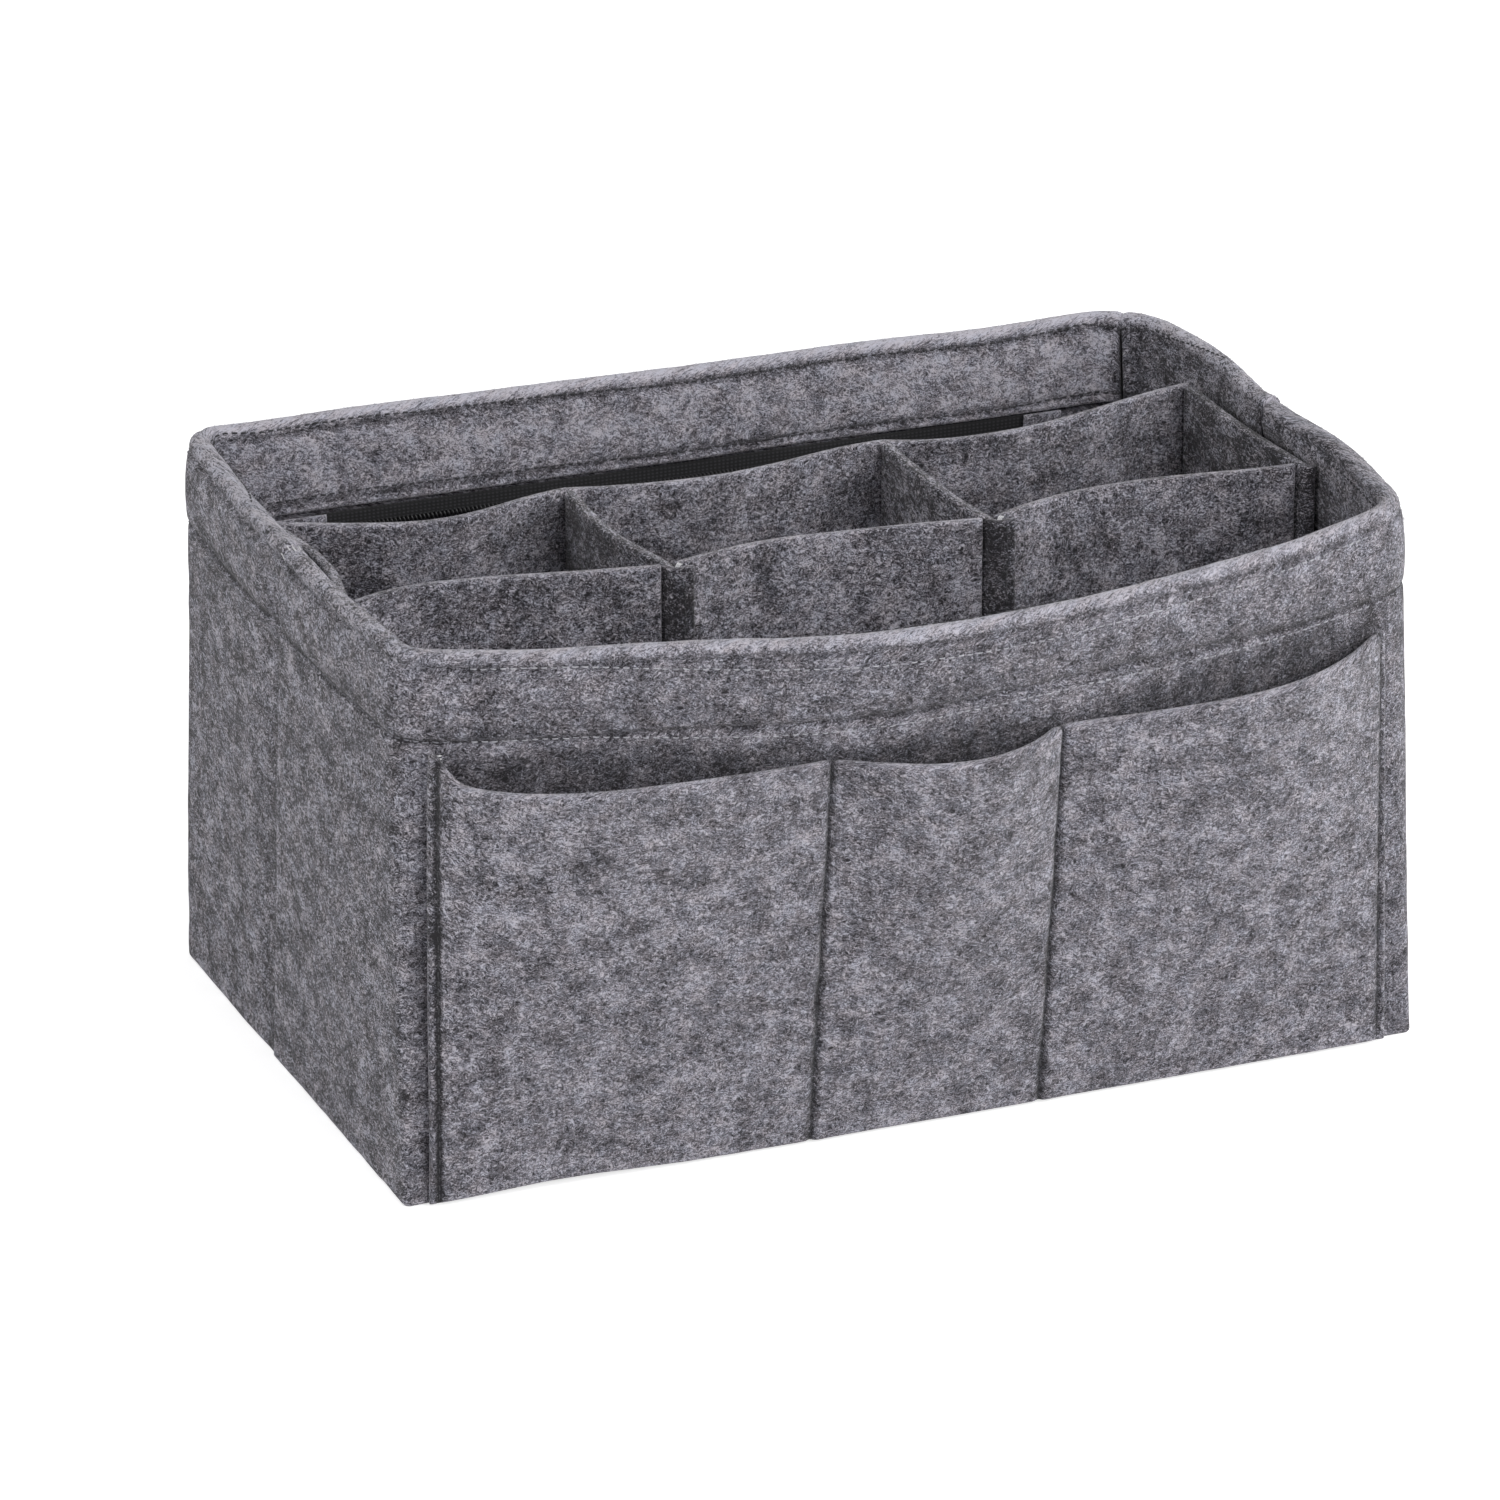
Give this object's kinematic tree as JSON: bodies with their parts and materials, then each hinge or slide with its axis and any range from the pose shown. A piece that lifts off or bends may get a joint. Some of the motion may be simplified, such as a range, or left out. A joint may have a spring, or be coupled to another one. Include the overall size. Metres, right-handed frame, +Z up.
{
  "type": "purse organizer insert",
  "caption": "Open felt organizer box with a folded rim, sewn front pockets, a flat zipped rear pocket and a lift-out divider of open cells.",
  "frame": {"origin": "centre of the underside of the base, at mount base_rest", "axes": "+Z up, +X along the long side to the right when the front pockets face the viewer, -Y towards the front pockets"},
  "size_m": [0.2854, 0.2125, 0.15],
  "materials": {
    "felt": "thick needled grey melange felt, soft and matte, with a fine fuzz",
    "zip_tape": "black woven zip tape",
    "zip_coil": "black nylon coil",
    "zip_metal": "black painted zip slider and pull"
  },
  "bodies": {
    "shell": {"front_wall": "felt", "rear_wall": "felt", "base_panel": "felt", "front_pocket_panel": "felt", "zip_pocket_panel": "felt", "zip_tape_upper": "zip_tape", "zip_tape_lower": "zip_tape", "zip_coil_upper": "zip_coil", "zip_coil_lower": "zip_coil", "zip_stop_left": "zip_coil", "zip_stop_right": "zip_coil"},
    "slider": {"zip_slider": "zip_metal"},
    "pull": {"zip_pull": "zip_metal"},
    "divider": {"divider_rear_panel": "felt", "divider_left_end": "felt", "divider_cross_wall_left": "felt", "divider_cross_wall_right": "felt", "divider_right_end": "felt", "divider_front_panel_left": "felt", "divider_front_panel_middle": "felt", "divider_front_panel_right": "felt"}
  },
  "joints": [
    {"name": "zip_slide", "type": "slide", "parent": "shell", "child": "slider", "axis": [1, 0, 0], "range_m": [-0.15, 0.0335]},
    {"name": "zip_pull_hinge", "type": "hinge", "parent": "slider", "child": "pull", "pos_m": [0.058, 0.0755, 0.1172], "axis": [0, 0, 1], "range_deg": [0, 180]},
    {"name": "divider_lift", "type": "slide", "parent": "shell", "child": "divider", "axis": [0, 0, 1], "range_m": [0, 0.165]}
  ]
}
